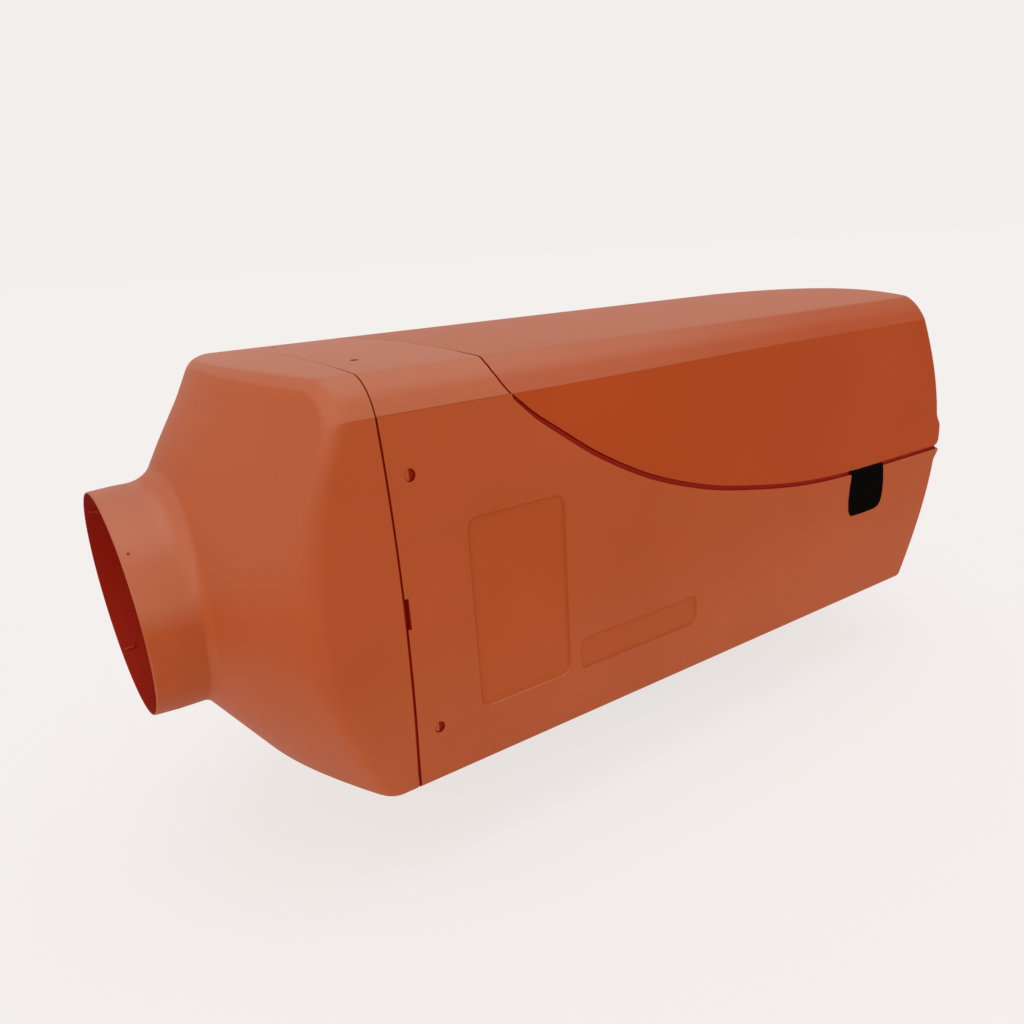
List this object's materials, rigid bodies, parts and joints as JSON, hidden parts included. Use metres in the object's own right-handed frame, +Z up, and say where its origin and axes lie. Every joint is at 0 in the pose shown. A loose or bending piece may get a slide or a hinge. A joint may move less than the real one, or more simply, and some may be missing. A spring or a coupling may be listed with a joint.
{
  "type": "air heater",
  "caption": "Ducted warm-air heater: moulded casing with coned outlet hood, round duct collar, hinged service lid, finned burner core, blower and foot mount.",
  "frame": {"origin": "centre of the mounting foot's lower face, on the foot gasket", "axes": "-X is the warm air outlet, +X the fan end, +Z up, -Y the side with the label recesses"},
  "size_m": [0.3924, 0.1408, 0.1813],
  "materials": {
    "orange_plastic": "satin moulded terracotta orange, fine grain",
    "black_plastic": "matte glass-filled black",
    "black_rubber": "matte",
    "cast_aluminium": "as cast",
    "steel": "drawn",
    "brass": "turned",
    "magnet": "sintered",
    "board": "solder-resist green",
    "gasket": "grey fibre sheet",
    "lead_sheath": "silicone",
    "grey_plastic": "grey nylon"
  },
  "bodies": {
    "root": {"lower_casing": "orange_plastic", "upper_casing": "orange_plastic", "cable_plug_right": "black_rubber", "cable_plug_left": "black_rubber", "inlet_grille": "black_plastic", "heat_exchanger": "cast_aluminium", "burner_head": "steel", "flame_tube": "steel", "atomiser_screen": "steel", "glow_plug": "brass", "burner_gasket": "gasket", "foot_gasket": "gasket", "exhaust_stub": "steel", "air_stub": "black_plastic", "fuel_pipe": "steel", "foot_studs": "steel", "blower_housing": "cast_aluminium", "blower_screws": "steel", "motor_can": "steel", "motor_magnets": "magnet", "front_bearing": "brass", "rear_bearing": "brass", "blower_carrier": "grey_plastic", "control_housing": "black_plastic", "control_cover": "black_plastic", "circuit_board": "board", "control_screws": "steel", "loom_socket": "grey_plastic", "overheat_sensor": "brass", "sensor_clip": "steel", "glow_lead": "lead_sheath", "sensor_lead": "lead_sheath", "motor_leads": "lead_sheath"},
    "hood": {"outlet_hood": "orange_plastic"},
    "lid": {"lid": "orange_plastic"},
    "rotor": {"rotor_shaft": "steel", "combustion_impeller": "cast_aluminium", "rotor_core": "magnet", "fan_wheel": "black_plastic", "fan_nut": "brass", "speed_magnet": "magnet"}
  },
  "joints": [
    {"name": "rotor_spin", "type": "hinge", "parent": "root", "child": "rotor", "pos_m": [0, 0, 0.077], "axis": [1, 0, 0], "continuous": true},
    {"name": "lid_open", "type": "hinge", "parent": "root", "child": "lid", "pos_m": [-0.0806, 0, 0.1515], "axis": [0, -1, 0], "range_deg": [0, 40]},
    {"name": "hood_pull", "type": "slide", "parent": "root", "child": "hood", "axis": [-1, 0, 0], "range_m": [0, 0.009]}
  ]
}
